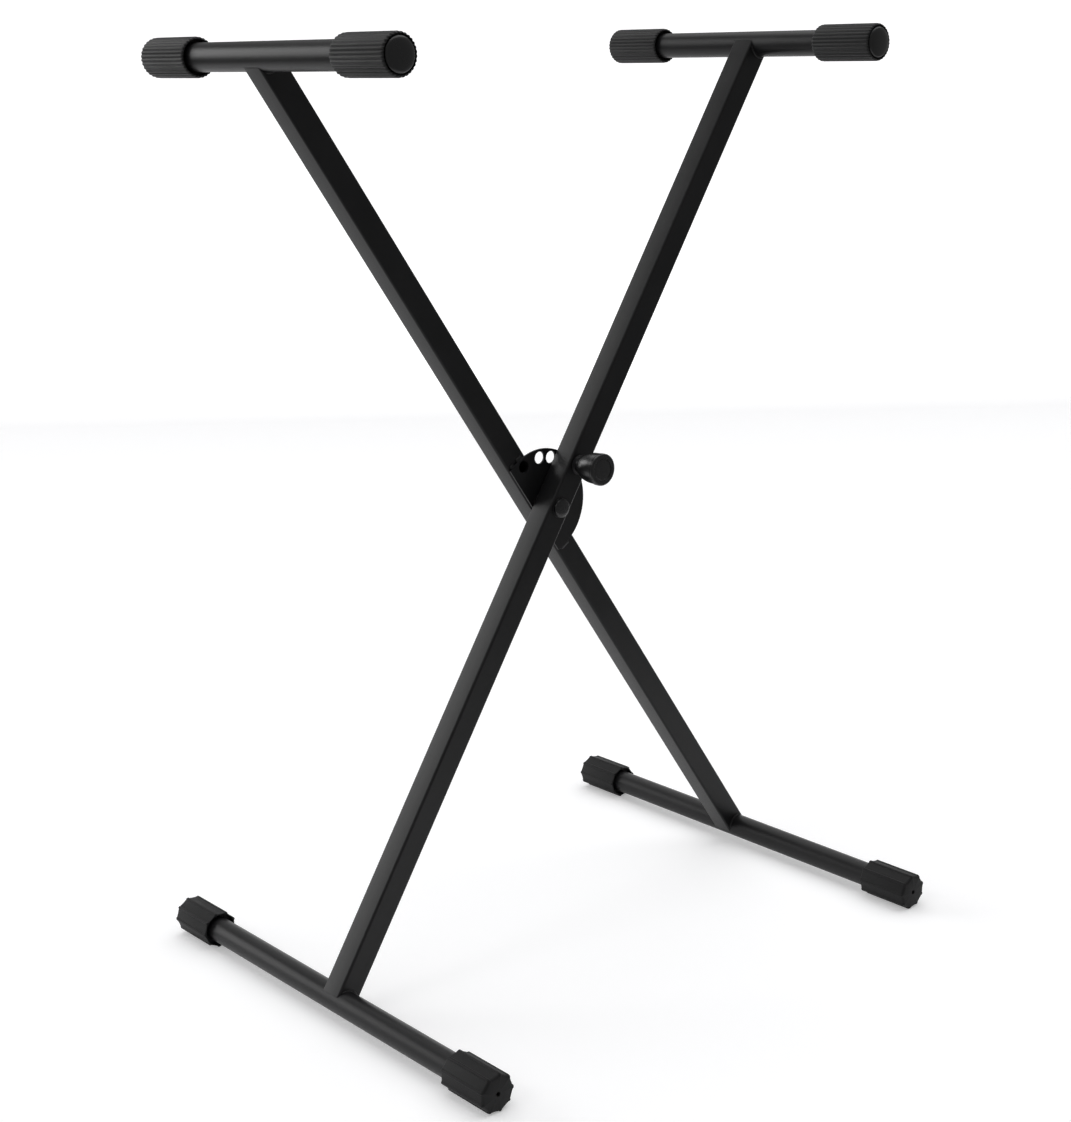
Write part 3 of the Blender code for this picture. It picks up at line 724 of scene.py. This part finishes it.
def sweep():
    """White floor that bends up into a low backdrop; it ends just outside the picture."""
    profile = [(SWEEP_NEAR, 0.0), (SWEEP_FLAT_TO, 0.0), (SWEEP_BEND_AT, 0.0)]
    for k in range(1, 9):
        a = math.radians(90 * k / 8)
        ahead = SWEEP_BEND_AT + SWEEP_BEND_RADIUS * math.sin(a)
        profile.append((ahead, SWEEP_BEND_RADIUS * (1 - math.cos(a))))
    profile.append((SWEEP_BEND_AT + SWEEP_BEND_RADIUS, SWEEP_TOP))
    bm = bmesh.new()
    rows = []
    for ahead, height in profile:
        left = bm.verts.new(over_floor(ahead, -0.9 - 0.45 * ahead, height))
        right = bm.verts.new(over_floor(ahead, 0.15 + 0.38 * ahead, height))
        rows.append((left, right))
    for (a, b), (c, d) in zip(rows, rows[1:]):
        bm.faces.new((a, b, d, c))
    mesh = bpy.data.meshes.new("sweep")
    bm.to_mesh(mesh)
    bm.free()
    mesh.shade_smooth()
    made = bpy.data.objects.new("sweep", mesh)
    bpy.context.scene.collection.objects.link(made)
    finish, nodes, links = new_material("sweep_paper")
    shader = nodes["Principled BSDF"]
    shader.inputs["Base Color"].default_value = (0.80, 0.80, 0.81, 1.0)
    shader.inputs["Roughness"].default_value = 0.9
    shader.inputs["Specular IOR Level"].default_value = 0.0
    place = nodes.new("ShaderNodeNewGeometry")
    parts = nodes.new("ShaderNodeSeparateXYZ")
    links.new(place.outputs["Position"], parts.inputs[0])
    rise = nodes.new("ShaderNodeMapRange")
    rise.inputs["From Max"].default_value = LIFT_HEIGHT
    rise.inputs["To Min"].default_value = FLOOR_LIFT
    rise.inputs["To Max"].default_value = BACKDROP_LIFT
    links.new(parts.outputs["Z"], rise.inputs["Value"])
    glow = nodes.new("ShaderNodeEmission")
    links.new(seen_by_eye(nodes, links, rise.outputs["Result"]), glow.inputs["Strength"])
    both = nodes.new("ShaderNodeAddShader")
    links.new(shader.outputs[0], both.inputs[0])
    links.new(glow.outputs[0], both.inputs[1])
    links.new(both.outputs[0], nodes["Material Output"].inputs["Surface"])
    mesh.materials.append(finish)
    made.visible_shadow = False


def world():
    """Plain white light from all round."""
    made = bpy.data.worlds.new("studio")
    made.use_nodes = True
    plain = made.node_tree.nodes["Background"]
    plain.inputs["Color"].default_value = (1.0, 1.0, 1.0, 1.0)
    plain.inputs["Strength"].default_value = WORLD_LIGHT
    bpy.context.scene.world = made


def sun(name, towards, spread, strength):
    """A soft far light; towards is the way its rays go."""
    light = bpy.data.lights.new(name, "SUN")
    light.angle = math.radians(spread)
    light.energy = strength
    made = bpy.data.objects.new(name, light)
    made.rotation_euler = Vector(towards).to_track_quat("-Z", "Y").to_euler()
    bpy.context.scene.collection.objects.link(made)


def camera():
    """The photograph's camera: place, three turns, focal length and shifted centre."""
    sy, cy = math.sin(CAMERA_YAW), math.cos(CAMERA_YAW)
    sp, cp = math.sin(CAMERA_PITCH), math.cos(CAMERA_PITCH)
    ahead = Vector((-sy * cp, cy * cp, sp))
    level = Vector((cy, sy, 0.0))
    over = level.cross(ahead)
    sr, cr = math.sin(CAMERA_ROLL), math.cos(CAMERA_ROLL)
    right = level * cr + over * sr
    up = -level * sr + over * cr
    data = bpy.data.cameras.new("camera")
    data.sensor_width = SENSOR
    data.lens = FOCAL_PIXELS * SENSOR / max(PICTURE)
    data.shift_x = (PICTURE[0] / 2 - CENTRE_PIXEL[0]) / max(PICTURE)
    data.shift_y = (CENTRE_PIXEL[1] - PICTURE[1] / 2) / max(PICTURE)
    made = bpy.data.objects.new("camera", data)
    axes = Matrix((right, up, -ahead)).transposed().to_4x4()
    made.matrix_world = Matrix.Translation(CAMERA_PLACE) @ axes
    bpy.context.scene.collection.objects.link(made)
    bpy.context.scene.camera = made


sweep()
world()
sun("key", (-0.30, -0.15, -0.94), 80.0, 1.7)
sun("side", (0.42, -0.86, -0.28), 36.0, 1.1)
sun("edge", (0.68, -0.07, -0.67), 16.0, 0.2)
camera()
bpy.context.scene.view_settings.view_transform = "Standard"
